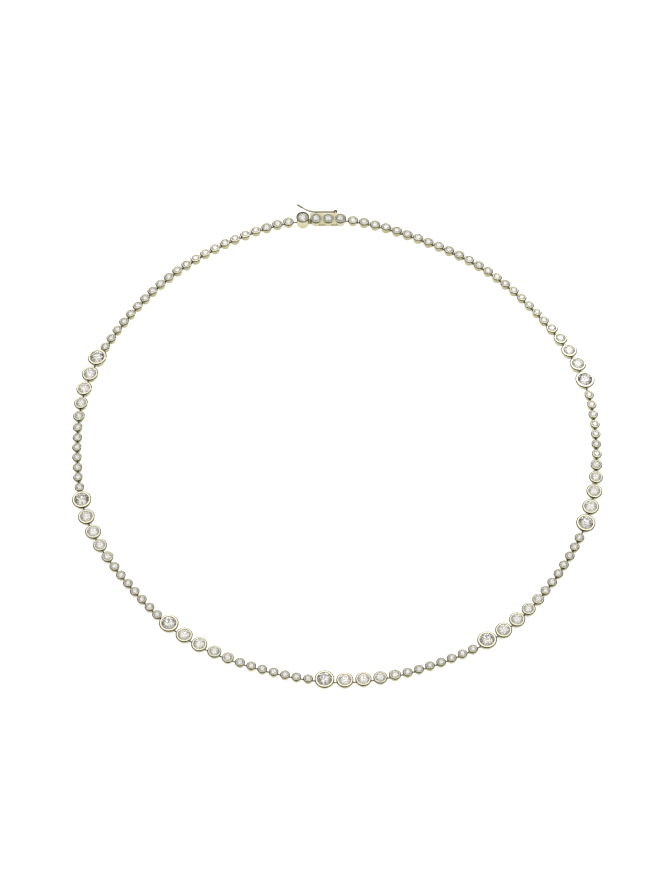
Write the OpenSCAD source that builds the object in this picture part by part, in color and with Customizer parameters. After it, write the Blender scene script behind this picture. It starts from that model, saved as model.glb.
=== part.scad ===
// Riviere necklace: a closed loop of bezel-set round stones, lying flat, with a box clasp.
// Seven groups graduate from a large lead stone down to the small stones that fill the rest.
// Origin: centre of the loop's outline, on the surface it lies on. +Z is up, +Y is the clasp side.

/* [Chain] */
// Outer radius of the small collets
small_r = 1.21; // [1.15:0.01:1.4]
// Outer radii of one graduated group's collets, lead stone first
group_r = [2.40, 2.08, 1.98, 1.73, 1.48, 1.25]; // [1.15:0.01:2.6]
// Number of graduated groups
groups = 7; // [5:1:8]
// Small links between the clasp's tongue and the first lead stone
first_run = 22; // [16:1:26]
// Small links between one graduated group and the next
between_run = 6; // [4:1:8]
// Small links between the last group and the clasp's box
last_run = 20; // [14:1:26]
// Clear space between the rims of neighbouring links
link_gap = 0.42; // [0.38:0.01:0.5]
// How much the small collets' radius grows towards the clasp, at the cost of the gaps
clasp_grow = 0.12; // [0:0.01:0.12]

/* [Collets] */
// Height of a small collet
small_h = 1.50; // [1.45:0.01:1.7]
// Height that a collet gains for each millimetre of outer radius
rise = 0.60; // [0.55:0.01:0.7]
// How far a small collet's foot is drawn in from its rim
foot_in = 0.27; // [0.2:0.01:0.3]
// Extra draw-in of the foot for each millimetre of outer radius
foot_in_rise = 0.40; // [0.3:0.01:0.45]
// Width of a small collet's bezel, from the rim's outside to the stone
bezel_w = 0.36; // [0.34:0.01:0.4]
// Extra bezel width for each millimetre of outer radius
bezel_w_rise = 0.13; // [0.05:0.01:0.15]

/* [Link joints] */
// Height of the joint's cross pin above the surface
pin_z = 0.50; // [0.48:0.01:0.52]
// Radius of the cross pin
pin_r = 0.11; // [0.09:0.01:0.12]
// Radius of the eye, to the middle of its wire
eye_r = 0.34; // [0.33:0.01:0.35]
// Thickness of the eye's metal round the pin
eye_wire = 0.22; // [0.18:0.01:0.22]
// Width of the eye along the pin
eye_w = 0.40; // [0.36:0.01:0.42]
// Radius of the shank that carries the eye
shank_r = 0.16; // [0.14:0.01:0.17]

/* [Clasp] */
// Pitch of the stones on the clasp's box
box_pitch = 3.02; // [2.98:0.01:3.1]
// Height of the clasp's box
box_h = 1.90; // [1.85:0.01:2.0]
// Outer radius of the tongue's round collet
tongue_r = 1.62; // [1.55:0.01:1.7]
// Height of the tongue's round collet
tongue_h = 3.00; // [2.8:0.01:3.2]
// Clear space between the tongue's collet and the first link
tongue_gap = 0.80; // [0.7:0.01:0.9]
// Clear space between the tongue's collet and the box
mouth_gap = 0.20; // [0.15:0.01:0.25]
// Distance of the safety bar's hinge from the middle of the box
hinge_x = 1.80; // [1.6:0.05:2.0]
// Radius of the hinge pin
hinge_pin_r = 0.20; // [0.18:0.01:0.22]

/* [Lay] */
// Angle round the loop at which the tongue lies, counted from +X
tongue_at = 97.2; // [95:0.1:100]
// Outward lean of the links at the clasp side, where the laid chain twists most
lean_far = 10; // [0:1:12]
// Small change of lean from one link to the next
lean_play = 2; // [0:0.5:2]

/* [Hidden] */

GOLD = [0.93, 0.82, 0.50];
STONE = [0.93, 0.93, 0.97];

// Clear space round every loose stone and joint
clear = 0.12;
// Metal left outside a cross pin, and how deep soldered parts run into each other
pin_skin = 0.13;
root = 0.15;
// Height of the bezel's upright band, and the slope that takes its outer edge off
band = 0.45;
rim_drop = 0.16;
rim_in = 0.14;
// Facets of a stone's girdle, and the segments of round metal
girdle_n = 16;
round_n = 48;

// How the laid loop departs from a circle, in millimetres
// columns: waves round the loop, cosine part, sine part
lay_waves = [
    [2, -0.91, -0.59],
    [3, 0.13, -0.32],
    [4, 0.38, 0.22],
    [5, -0.16, 0.28],
    [6, -0.13, -0.04],
    [7, 0.08, -0.07],
    [8, 0.01, 0.08],
    [10, -0.23, -0.07]
];

// The links in order, from the tongue round to the box
function run(count) = [for (k = [1:count]) small_r];
function group_and_run(count) = concat(group_r, run(count));
spans = [
    each run(first_run),
    for (g = [1:groups]) each group_and_run(g < groups ? between_run : last_run)
];
link_n = len(spans);
// Full growth is reached ten links away from the nearest graduated group
grow_links = 10;
function group_away(i) = max(first_run - i, i - (link_n - last_run) + 1, 0);
radii = [for (i = [0:link_n - 1]) spans[i] + clasp_grow * min(1, group_away(i) / grow_links)];
half_n = floor(link_n / 2);
group_n = len(group_r) + between_run;
function lead_link(g) = first_run + (g - 1) * group_n;
leads = [for (g = [1:groups]) lead_link(g)];

// Clasp sizes that follow from the driving ones
box_r = box_pitch / 2;
box_half = box_pitch + box_r;
tongue_to_box = tongue_r + mouth_gap + box_half;

// Distance along the loop of each link's centre, from the tongue's centre
arcs = [
    for (
        i = 0, s = tongue_r + tongue_gap + spans[0];
        i < link_n;
        i = i + 1, s = i < link_n ? s + spans[i - 1] + link_gap + spans[i] : s
    ) s
];
loop_len = arcs[link_n - 1] + spans[link_n - 1] + link_gap + box_half + tongue_to_box;

// Outline of the laid loop, closed to the links' total length
step = 1;
function bulge(a) =
    [for (w = lay_waves) w[1] * cos(w[0] * a) + w[2] * sin(w[0] * a)] * [for (w = lay_waves) 1];
function outline(a, r) = (r + bulge(a)) * [cos(a), sin(a)];
function travelled(r) = [
    for (
        a = tongue_at, s = 0;
        a <= tongue_at + 360 + step / 2;
        s = s + norm(outline(a + step, r) - outline(a, r)), a = a + step
    ) [s, a]
];
function last_of(v) = v[len(v) - 1];
rough_r = loop_len / (2 * PI);
mean_r = rough_r + (loop_len - last_of(travelled(rough_r))[0]) / (2 * PI);
way = travelled(mean_r);
function angle_at(s) = lookup(s, way);
function heading_at(s) =
    let (a = angle_at(s), d = outline(a + step, mean_r) - outline(a - step, mean_r))
        atan2(d[1], d[0]);

// Sizes of one collet from its outer radius
function collet_h(r) = small_h + rise * (r - small_r);
function foot_r(r) = r - foot_in - foot_in_rise * (r - small_r);
function stone_r(r) = r - bezel_w - bezel_w_rise * (r - small_r);
function girdle_z(r, h) = h - 0.20 - 0.04 * (r - small_r);
function wall_r(r, h, z) = foot_r(r) + (r - foot_r(r)) * min(1, z / (h - band));
function pin_x(r, h) = wall_r(r, h, pin_z) - pin_r - pin_skin;

// The clasp lies straight along X, a little inside the loop's outline
clasp_in = 0.30;
clasp_turn = angle_at(loop_len - tongue_to_box);
clasp_mid = outline(clasp_turn, mean_r) - [0, clasp_in];
tongue_mid = clasp_mid - [tongue_to_box, 0];

// Lean of a link, outward, and how far it lifts the link's middle
function lean(i) =
    lean_far * (1 + sin(angle_at(arcs[i]))) / 2
        * min(1, min(arcs[i], loop_len - tongue_to_box - arcs[i]) / 14)
        + lean_play * sin(137.5 * i);
function lift(i) = foot_r(radii[i]) * sin(abs(lean(i)));

// Safety bar sizes: it lies behind the box, level with its upper half
bar_near = 2.12;
bar_t = 0.36;
bar_h = 0.52;
bar_z = 1.28;
bar_eye_r = 0.50;
bar_straight = 5.0;
curve_r = 4.6;
curve_a = 33;
tip_arm = 0.75;
tip_arm_h = 0.44;
tip_len = 1.30;
tip_h = 0.84;
tip_t = 0.30;
tip_wire = 0.22;
bar_reach = tip_arm + tip_len + tip_h / 2;
bar_end_y = bar_near + bar_t / 2 + curve_r * (1 - cos(curve_a)) + bar_reach * sin(curve_a)
    + tip_t / 2 * cos(curve_a);

// Middle of the outline's box, which the origin stands under
centres = [for (s = arcs) outline(angle_at(s), mean_r)];
low_x = min([for (i = [0:link_n - 1]) centres[i][0] - radii[i]]);
high_x = max([for (i = [0:link_n - 1]) centres[i][0] + radii[i]]);
low_y = min([for (i = [0:link_n - 1]) centres[i][1] - radii[i]]);
high_y = clasp_mid[1] + bar_end_y;
middle = [(low_x + high_x) / 2, (low_y + high_y) / 2, 0];

// A point of link i, given in the link's own frame, in the loop's frame
function lean_point(p, a) = [p[0], p[1] * cos(a) - p[2] * sin(a), p[1] * sin(a) + p[2] * cos(a)];
function turn_point(p, a) = [p[0] * cos(a) - p[1] * sin(a), p[0] * sin(a) + p[1] * cos(a), p[2]];
function link_point(i, p) =
    [centres[i][0], centres[i][1], lift(i)]
        + turn_point(lean_point(p, lean(i)), heading_at(arcs[i]));
function link_pin(i) =
    let (r = radii[i]) link_point(i, [-pin_x(r, collet_h(r)), 0, pin_z]);
function link_anchor(i) =
    let (r = radii[i]) link_point(i, [wall_r(r, collet_h(r), pin_z) - root, 0, pin_z]);

module in_place() {
    translate(-middle)
        children();
}

module at_link(i) {
    translate([centres[i][0], centres[i][1], lift(i)])
        rotate([lean(i), 0, heading_at(arcs[i])])
            children();
}

// Half section of a collet: foot, outer wall, sloped rim, lip over the stone, seat, inner wall
function cup_section(r, h, foot, stone, girdle, lip) = [
    [foot, 0],
    [r, h - band],
    [r - 0.02, h - rim_drop],
    [r - rim_in, h],
    [lip, h],
    [stone + 0.10, girdle + 0.08],
    [stone + 0.09, girdle - 0.10],
    [stone - 0.18, girdle - 0.36],
    [foot - 0.24, 0]
];

module cup(r, h, foot, stone, girdle, lip) {
    rotate_extrude($fn = round_n)
        polygon(cup_section(r, h, foot, stone, girdle, lip));
}

// Slot in the wall for the neighbour's eye, and the pin across it, towards -X
slot_w = eye_w + 2 * clear + 0.04;

module eye_slot(x) {
    past = 1.4;
    reach = eye_r + eye_wire / 2 + clear;
    translate([-x - past, -slot_w / 2, -past])
        cube([past + reach, slot_w, past + pin_z + reach]);
}

module cross_pin(x) {
    l = slot_w + root;
    translate([-x, l / 2, pin_z])
        rotate([90, 0, 0])
            cylinder(r = pin_r, h = l, $fn = 24);
}

// Eye round the cross pin at point to, on a shank from point from
module eye(from, to, roll) {
    d = to - from;
    flat = norm([d[0], d[1]]);
    long = norm(d) - eye_r;
    bore = eye_r - eye_wire / 2;
    outside = eye_r + eye_wire / 2;
    w = eye_w / 2;
    translate(to)
        rotate([roll, -atan2(d[2], flat), atan2(d[1], d[0])]) {
            rotate([90, 0, 0])
                rotate_extrude($fn = 32)
                    polygon([[bore, -w], [outside, -w], [outside, w], [bore + 0.02, w]]);
            translate([-norm(d), 0, 0])
                rotate([0, 90, 0])
                    cylinder(r = shank_r, h = long, $fn = 24);
        }
}

// One link: its collet with slot and pin, and the eye that holds the next link's pin
module link(i) {
    r = radii[i];
    h = collet_h(r);
    x = pin_x(r, h);
    s = stone_r(r);
    at_link(i) {
        difference() {
            cup(r, h, foot_r(r), s, girdle_z(r, h), s - 0.02);
            eye_slot(x);
        }
        cross_pin(x);
    }
    if (i < link_n - 1)
        eye(link_anchor(i), link_pin(i + 1), (lean(i) + lean(i + 1)) / 2);
    else
        eye(link_anchor(i), box_pin_at, lean(i) / 2);
}

// Round brilliant with its girdle at z = 0: table, 24 crown facets, 16 pavilion facets
module brilliant(r, girdle_h) {
    table_r = 0.56 * r;
    crown_h = 0.30 * r;
    depth = 0.86 * r;
    n = girdle_n;
    table = [for (k = [0:7]) [table_r * cos(45 * k), table_r * sin(45 * k), girdle_h / 2 + crown_h]];
    upper = [for (k = [0:n - 1]) [r * cos(22.5 * k), r * sin(22.5 * k), girdle_h / 2]];
    lower = girdle_h > 0 ? [for (p = upper) [p[0], p[1], -girdle_h / 2]] : [];
    low0 = girdle_h > 0 ? 8 + n : 8;
    culet = low0 + n;
    polyhedron(
        points = concat(table, upper, lower, [[0, 0, -girdle_h / 2 - depth]]),
        faces = concat(
            [[7, 6, 5, 4, 3, 2, 1, 0]],
            [for (k = [0:7]) [k, (k + 1) % 8, 8 + 2 * k + 1]],
            [for (k = [0:7]) [k, 8 + 2 * k + 1, 8 + 2 * k]],
            [for (k = [0:7]) [k, 8 + 2 * k, 8 + (2 * k + n - 1) % n]],
            girdle_h > 0 ? [for (k = [0:n - 1]) [8 + k, 8 + (k + 1) % n, low0 + (k + 1) % n, low0 + k]] : [],
            [for (k = [0:n - 1]) [low0 + k, low0 + (k + 1) % n, culet]]
        )
    );
}

// The stone of link i; lead stones keep a girdle band
module link_stone(i, girdle_h) {
    r = radii[i];
    at_link(i)
        translate([0, 0, girdle_z(r, collet_h(r))])
            rotate([0, 0, 137.5 * i])
                brilliant(stone_r(r), girdle_h);
}

function is_lead(i) = len(search(i, leads)) > 0;

module links(from, to) {
    color(GOLD)
        in_place()
            for (i = [from:to])
                link(i);
}

module plain_stones(from, to) {
    color(STONE)
        in_place()
            for (i = [from:to])
                if (!is_lead(i))
                    link_stone(i, 0);
}

module chain_left() {
    links(0, half_n - 1);
}

module chain_right() {
    links(half_n, link_n - 1);
}

module stones_left() {
    plain_stones(0, half_n - 1);
}

module stones_right() {
    plain_stones(half_n, link_n - 1);
}

module lead_stone(g) {
    color(STONE)
        in_place()
            link_stone(lead_link(g), 0.06);
}

// Tongue: a deep round collet, set a little forward on a flat blade that lies inside the box
tongue_stone_r = 1.22;
tongue_girdle = tongue_h - 0.32;
tongue_foot = tongue_r - 0.12;
tongue_off = 0.35;
blade_w = 1.40;
blade_z = 0.30;
blade_t = 0.22;
blade_start = 1.05;
blade_end = tongue_to_box + 1.2;

module clasp_tongue() {
    color(GOLD)
        in_place() {
            translate([tongue_mid[0], tongue_mid[1], 0]) {
                translate([0, -tongue_off, 0])
                    cup(tongue_r, tongue_h, tongue_foot, tongue_stone_r, tongue_girdle, tongue_r - 0.22);
                translate([blade_start, -blade_w / 2, blade_z])
                    cube([blade_end - blade_start, blade_w, blade_t]);
            }
            eye(
                [tongue_mid[0] - tongue_foot + root, tongue_mid[1] - tongue_off, pin_z],
                link_pin(0),
                lean(0) / 2
            );
        }
}

module clasp_tongue_stone() {
    color(STONE)
        in_place()
            translate([tongue_mid[0], tongue_mid[1] - tongue_off, tongue_girdle])
                brilliant(tongue_stone_r, 0.04);
}

// Box: three fused collets on a straight body, hollow for the tongue's blade
box_stone_r = box_r - 0.42;
box_girdle = box_h - 0.22;
box_foot = box_r - 0.30;
box_plate_h = box_h - 0.08;
box_front = 1.05;
box_front_end = box_pitch + 0.53;
box_back = 1.62;
box_back_x = [-4.50, 2.60];
box_pin_x = box_pitch + wall_box(pin_z) - pin_r - pin_skin;
box_pin_at = [clasp_mid[0] + box_pin_x, clasp_mid[1], pin_z];
function wall_box(z) = box_foot + (box_r - box_foot) * min(1, z / (box_h - band));

// Hollow for the blade, open at the tongue's end
hollow_w = 1.70;
hollow_z = 0.15;
hollow_h = 0.52;
hollow_end = 1.6;

// Safety bar's hinge on the box, and the stud that the bar's middle rests by
hinge_boss_r = 0.42;
hinge_gap = 0.05;
hinge_floor = 1.30;
pin_fit = 0.03;
bar_fit = 0.05;
stud_r = 0.20;
stud_x = -3.05;
stud_gap = 0.07;

module box_outside() {
    for (k = [-1:1])
        translate([k * box_pitch, 0, 0])
            box_cup();
    translate([-box_front_end, -box_front, 0])
        cube([2 * box_front_end, 2 * box_front, box_plate_h]);
    translate([box_back_x[0], 0, 0])
        cube([box_back_x[1] - box_back_x[0], box_back, box_plate_h]);
    behind_box(hinge_x, bar_near - hinge_gap)
        cylinder(r = hinge_boss_r, h = bar_near - hinge_gap - box_back + root, $fn = 32);
    behind_box(stud_x, bar_near - stud_gap)
        cylinder(r = stud_r, h = bar_near - stud_gap - box_back + root, $fn = 24);
}

// Stands a round part on the box's back, from distance y towards the box
module behind_box(x, y) {
    translate([x, y, bar_z])
        rotate([90, 0, 0])
            children();
}

module box_cup() {
    rotate_extrude($fn = round_n)
        polygon([
            [0, 0], [box_foot, 0], [box_r + 0.01, box_h - band],
            [box_r - 0.01, box_h - rim_drop], [box_r - rim_in, box_h], [0, box_h]
        ]);
}

// The well that a box stone stands in
module box_well() {
    s = box_stone_r;
    g = box_girdle;
    rotate_extrude($fn = round_n)
        polygon([
            [0, box_h + 1], [s - 0.02, box_h + 1], [s - 0.02, box_h], [s + 0.10, g + 0.08],
            [s + 0.09, g - 0.10], [s - 0.30, g - 0.47], [s - 0.34, 0.5], [0, 0.5]
        ]);
}

module clasp_box() {
    color(GOLD)
        in_place()
            translate([clasp_mid[0], clasp_mid[1], 0]) {
                difference() {
                    box_outside();
                    for (k = [-1:1])
                        translate([k * box_pitch, 0, 0])
                            box_well();
                    translate([-box_half - 1, -hollow_w / 2, hollow_z])
                        cube([box_half + 1 + hollow_end, hollow_w, hollow_h]);
                    mirror([1, 0, 0])
                        eye_slot(box_pin_x);
                    behind_box(hinge_x, bar_near + 1)
                        cylinder(r = hinge_pin_r + pin_fit, h = bar_near + 1 - hinge_floor, $fn = 32);
                }
                mirror([1, 0, 0])
                    cross_pin(box_pin_x);
            }
}

module clasp_box_stone(k) {
    color(STONE)
        in_place()
            translate([clasp_mid[0] + (k - 2) * box_pitch, clasp_mid[1], box_girdle])
                rotate([0, 0, 17 * k])
                    brilliant(box_stone_r, 0.04);
}

// Pin: a plain rivet through the box's boss and the bar's eye
module hinge_pin() {
    head_r = 0.38;
    head_h = 0.20;
    head_y = bar_near + bar_t + hinge_gap;
    foot_y = hinge_floor + hinge_gap;
    color(GOLD)
        in_place()
            translate([clasp_mid[0], clasp_mid[1], 0]) {
                behind_box(hinge_x, head_y + head_h / 2)
                    cylinder(r = hinge_pin_r, h = head_y + head_h / 2 - foot_y, $fn = 32);
                behind_box(hinge_x, head_y + head_h)
                    cylinder(r = head_r, h = head_h, $fn = 32);
            }
}

// Safety bar: an eye on the hinge, a straight arm, a curve outward and an open loop at the tip
module safety_bar() {
    color(GOLD)
        in_place()
            translate([clasp_mid[0] + hinge_x, clasp_mid[1] + bar_near + bar_t / 2, bar_z])
                difference() {
                    union() {
                        bar_upright(bar_t)
                            circle(r = bar_eye_r, $fn = 32);
                        translate([-bar_straight, -bar_t / 2, -bar_h / 2])
                            cube([bar_straight, bar_t, bar_h]);
                        bar_curve();
                        bar_tip();
                    }
                    bar_upright(3 * bar_t)
                        circle(r = hinge_pin_r + bar_fit, $fn = 32);
                }
}

// A flat shape stood upright in the bar's plane, t thick
module bar_upright(t) {
    rotate([90, 0, 0])
        linear_extrude(height = t, center = true)
            children();
}

// The arm bends outward, away from the tongue's collet
module bar_curve() {
    translate([-bar_straight, curve_r, 0])
        rotate([0, 0, 270 - curve_a])
            rotate_extrude(angle = curve_a + 1, $fn = 96)
                translate([curve_r - bar_t / 2, -bar_h / 2])
                    square([bar_t, bar_h]);
}

// Straight end of the arm, then a loop of wire to lift it by
module bar_tip() {
    translate([-bar_straight - curve_r * sin(curve_a), curve_r * (1 - cos(curve_a)), 0])
        rotate([0, 0, -curve_a])
            difference() {
                union() {
                    translate([-tip_arm - root, -tip_t / 2, -tip_arm_h / 2])
                        cube([tip_arm + 3 * root, tip_t, tip_arm_h]);
                    bar_upright(tip_t)
                        tip_outline(tip_h / 2);
                }
                bar_upright(2 * bar_t)
                    tip_outline(tip_h / 2 - tip_wire);
            }
}

// Long round-ended outline of the loop, r from its middle line
module tip_outline(r) {
    for (x = [tip_arm + tip_h / 2, tip_arm + tip_len])
        translate([-x, 0])
            circle(r = r, $fn = 32);
    translate([-tip_arm - tip_len, -r])
        square([tip_len - tip_h / 2, 2 * r]);
}

chain_left();
chain_right();
stones_left();
stones_right();
lead_stone(1);  // lead_stone_1
lead_stone(2);  // lead_stone_2
lead_stone(3);  // lead_stone_3
lead_stone(4);  // lead_stone_4
lead_stone(5);  // lead_stone_5
lead_stone(6);  // lead_stone_6
lead_stone(7);  // lead_stone_7
clasp_tongue();
clasp_tongue_stone();
clasp_box();
clasp_box_stone(1);  // clasp_box_stone_1
clasp_box_stone(2);  // clasp_box_stone_2
clasp_box_stone(3);  // clasp_box_stone_3
safety_bar();
hinge_pin();
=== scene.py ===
from bisect import bisect_right
from math import asin, atan2, cos, degrees, hypot, pi, radians, sin, tan

import bmesh
import bpy
from mathutils import Matrix, Vector


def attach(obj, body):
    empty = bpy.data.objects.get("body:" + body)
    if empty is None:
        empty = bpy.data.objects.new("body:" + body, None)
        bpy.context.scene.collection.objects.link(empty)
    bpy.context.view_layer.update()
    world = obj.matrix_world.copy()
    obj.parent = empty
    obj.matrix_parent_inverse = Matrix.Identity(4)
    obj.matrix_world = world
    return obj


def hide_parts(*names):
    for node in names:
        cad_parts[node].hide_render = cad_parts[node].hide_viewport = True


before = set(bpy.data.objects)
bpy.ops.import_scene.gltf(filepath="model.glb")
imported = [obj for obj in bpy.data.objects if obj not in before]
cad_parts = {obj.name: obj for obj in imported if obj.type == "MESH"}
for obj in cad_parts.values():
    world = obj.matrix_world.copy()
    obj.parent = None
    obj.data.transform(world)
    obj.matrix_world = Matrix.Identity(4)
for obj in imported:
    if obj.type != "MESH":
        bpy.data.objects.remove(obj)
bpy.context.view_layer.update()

# Lengths are in millimetres and angles in degrees, as in the part's source
MM = 0.001

# Chain: outer radii of the collets, in order from the clasp's tongue round to its box
SMALL_R = 1.21
GROUP_R = [2.40, 2.08, 1.98, 1.73, 1.48, 1.25]
GROUPS = 7
FIRST_RUN = 22
BETWEEN_RUN = 6
LAST_RUN = 20
LINK_GAP = 0.42
CLASP_GROW = 0.12
GROW_LINKS = 10

# Collets
SMALL_H = 1.50
RISE = 0.60
FOOT_IN = 0.27
FOOT_IN_RISE = 0.40
BEZEL_W = 0.36
BEZEL_W_RISE = 0.13
GIRDLE_IN = 0.20
GIRDLE_IN_RISE = 0.04
BAND = 0.45

# Lips: their reach over the stone, the widths of their slopes outward and inward, and the edge
LIP_OVER = 0.03
LIP_OVER_RISE = 0.05
LIP_OUT = 0.25
LIP_IN = 0.06
LIP_SLOPE = 30
LIP_EDGE = 0.05

# Edges of a collet's half section, as (across, up) steps from the corner that each belongs to
FOOT_EDGE = [(-0.03, 0), (0, 0.03)]
WALL_MIDDLE = 0.62
BAND_EDGE = [(-0.012, -0.05), (0, 0.02)]
LIP_OUTSIDE = [(0, -LIP_EDGE), (-0.3 * LIP_EDGE, -0.3 * LIP_EDGE), (-LIP_EDGE, 0)]
LIP_INSIDE = [(0, 0), (0, -0.03), (0.02, -0.06)]
SEAT = [(0.06, 0.03), (0.05, -0.10), (-0.18, -0.36)]
FOOT_INSIDE = [(-0.24, 0.02), (-0.21, 0)]

# Link joints
CLEAR = 0.12
PIN_SKIN = 0.13
ROOT = 0.15
PIN_Z = 0.50
PIN_R = 0.11
EYE_R = 0.34
EYE_WIRE = 0.22
EYE_W = 0.40
EYE_EDGE = 0.07
EYE_REACH = EYE_R + EYE_WIRE / 2 + CLEAR
SLOT_W = EYE_W + 2 * CLEAR + 0.04
SHANK_R = 0.16
SHANK_END = 0.10
SOLDER = [(0.09, 0.03), (0, 0.14)]

# Cut of the stones: radius and height of each ring of corners, as shares of the girdle's radius
FACETS = 8
GIRDLE_H = 0.04
TABLE = (0.56, 0.30)
KITES = (0.80, 0.185)
MAINS = (0.30, -0.655)
CULET = (0.03, -0.86)
STONE_TURN = 137.5
BOX_STONE_TURN = 17

# Clasp
BOX_PITCH = 3.02
BOX_H = 1.90
BOX_R = BOX_PITCH / 2
BOX_HALF = BOX_PITCH + BOX_R
TONGUE_R = 1.62
TONGUE_H = 3.00
TONGUE_OFF = 0.35
TONGUE_GAP = 0.80
MOUTH_GAP = 0.20
TONGUE_TO_BOX = TONGUE_R + MOUTH_GAP + BOX_HALF
CLASP_IN = 0.30
HINGE_X = 1.80
HINGE_PIN_R = 0.20

# Box of the clasp
BOX_FOOT = BOX_R - 0.30
BOX_STONE_R = BOX_R - 0.42
BOX_GIRDLE = BOX_H - 0.22
BOX_PLATE_H = BOX_H - 0.08
BOX_BACK = 1.62
BOX_BACK_X = (-4.50, 2.60)
BOX_FRONT = 1.05
BOX_FRONT_END = BOX_PITCH + 0.53
BOX_WALL_R = BOX_FOOT + (BOX_R - BOX_FOOT) * (PIN_Z / (BOX_H - BAND))
BOX_PIN_X = BOX_PITCH + BOX_WALL_R - PIN_R - PIN_SKIN
BOX_PIN = Vector((BOX_PIN_X, 0, PIN_Z))
WELL_R = BOX_STONE_R - 0.34
WELL_Z = 0.50
DRILL_R = 1.28
HOLLOW_W = 1.70
HOLLOW_Z = 0.15
HOLLOW_H = 0.52
HOLLOW_END = 1.60
CUT_PAST = 1.0

# Blocks of the box: low corner, high corner and rounding
SEAM_LOW = BOX_PLATE_H - 0.15
SEAM_TOP = BOX_PLATE_H + 0.05
FRONT_BLOCK = ((-BOX_FRONT_END, -BOX_FRONT, 0), (BOX_FRONT_END, BOX_FRONT, BOX_PLATE_H), 0.08)
BACK_BLOCK = ((BOX_BACK_X[0], -0.20, 0.01), (BOX_BACK_X[1], BOX_BACK, BOX_PLATE_H + 0.002), 0.07)
SEAM_BLOCKS = [
    ((BOX_R - 0.17, 0.15, SEAM_LOW), (BOX_R + 0.17, BOX_BACK - 0.20, SEAM_TOP), 0.05),
    ((BOX_R - 0.40, 1.15, SEAM_LOW), (BOX_R + 0.45, BOX_BACK - 0.03, SEAM_TOP - 0.01), 0.05),
]
# A thin sheet on the foot of the front, in dark joint gold: a painted shadow line
SHADOW_SHEET_BLOCK = ((-BOX_FRONT_END, -BOX_FRONT - 0.02, 0.02), (BOX_FRONT_END, -BOX_FRONT + 0.15, 0.55), 0.02)

# Hinge, pin and stud on the back of the box
SUNK = 0.10
HINGE_GAP = 0.05
HINGE_FLOOR = 1.30
BORE_LEN = 2.0
PIN_FIT = 0.03
BAR_FIT = 0.05
HINGE_BOSS_R = 0.42
BOSS_FOOT = [(0.04, 0), (0.01, 0.16)]
BOSS_END = [(0, -0.04), (-0.04, 0)]
STUD_R = 0.20
STUD_X = -3.05
STUD_GAP = 0.07
STUD_EDGE = 0.06
HEAD_R = 0.38
HEAD_H = 0.20
HEAD_EDGE = 0.12
HEAD_TURN = 80
HEAD_STEPS = 4

# Tongue of the clasp: its sizes, the edges of its half section, and the flat blade
TONGUE_FOOT = TONGUE_R - 0.12
TONGUE_STONE_R = 1.22
TONGUE_GIRDLE = TONGUE_H - 0.32
TONGUE_LIP = TONGUE_R - 0.24
TONGUE_FOOT_EDGE = [(-0.03, 0), (0, 0.04), (0.05, 1.90), (0.085, 1.92)]
TONGUE_BAND_EDGE = [(-0.01, 0), (0, 0.08)]
TONGUE_TOP = [(0, -0.08), (-0.02, -0.05), (-0.09, -0.01), (-0.12, 0)]
TONGUE_LIP_EDGE = [(0.06, -0.02), (0, -0.08)]
TONGUE_SEAT = [(0.07, 0.10), (-0.02, 0.09), (0.05, 0.03), (0.04, -0.10), (-0.18, -0.36)]
BLADE_START = 1.05
BLADE_END = TONGUE_TO_BOX + 1.20
BLADE_W = 1.40
BLADE_Z = 0.30
BLADE_T = 0.22
BLADE_EDGE = 0.04

# Safety bar
BAR_NEAR = 2.12
BAR_T = 0.36
BAR_H = 0.52
BAR_Z = 1.28
BAR_EDGE = 0.09
BAR_EYE_R = 0.50
BAR_EYE_EDGE = 0.06
BAR_START = 0.40
BAR_STRAIGHT = 5.0
CURVE_R = 4.6
CURVE_A = 33
CURVE_STEPS = 10
TIP_ARM = 0.75
TIP_ARM_T = 0.29
TIP_ARM_H = 0.44
TIP_ARM_EDGE = 0.08
TIP_ARM_PAST = 0.05
TIP_LEN = 1.30
TIP_H = 0.84
TIP_T = 0.30
TIP_WIRE = 0.22
TIP_WIRE_T = 0.28
TIP_WIRE_EDGE = 0.10
TIP_STEP = 18
BAR_REACH = TIP_ARM + TIP_LEN + TIP_H / 2

# Sides of round parts, and steps of a rounded edge
EDGE_STEPS = 3
COLLET_SIDES = 40
OPEN_SIDES = 4
BOX_SIDES = 56
TONGUE_SIDES = 60
PIN_SIDES = 12
EYE_SIDES = 20
SHANK_SIDES = 10
BORE_SIDES = 24
STUD_SIDES = 20
HINGE_SIDES = 28
BAR_EYE_SIDES = 36

# Lay of the loop: start angle, lean of the links, and waves round the loop (count, cosine, sine)
TONGUE_AT = 97.2
LEAN_FAR = 10
LEAN_PLAY = 2
LEAN_EASE = 14
LAY_WAVES = [
    (2, -0.91, -0.59), (3, 0.13, -0.32), (4, 0.38, 0.22), (5, -0.16, 0.28),
    (6, -0.13, -0.04), (7, 0.08, -0.07), (8, 0.01, 0.08), (10, -0.23, -0.07),
]


# The links in order, and how far along the loop each lies
def link_spans():
    spans = [SMALL_R] * FIRST_RUN
    for g in range(GROUPS):
        spans += GROUP_R + [SMALL_R] * (LAST_RUN if g == GROUPS - 1 else BETWEEN_RUN)
    return spans


def group_away(i):
    return max(FIRST_RUN - i, i - (LINK_N - LAST_RUN) + 1, 0)


def link_arcs():
    arcs = [TONGUE_R + TONGUE_GAP + SPANS[0]]
    for a, b in zip(SPANS, SPANS[1:]):
        arcs.append(arcs[-1] + a + LINK_GAP + b)
    return arcs


SPANS = link_spans()
LINK_N = len(SPANS)
HALF_N = LINK_N // 2
RADII = [span + CLASP_GROW * min(1, group_away(i) / GROW_LINKS) for i, span in enumerate(SPANS)]
GROUP_N = len(GROUP_R) + BETWEEN_RUN
LEADS = [FIRST_RUN + g * GROUP_N for g in range(GROUPS)]
ARCS = link_arcs()
LOOP_LEN = ARCS[-1] + SPANS[-1] + LINK_GAP + BOX_HALF + TONGUE_TO_BOX


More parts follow.
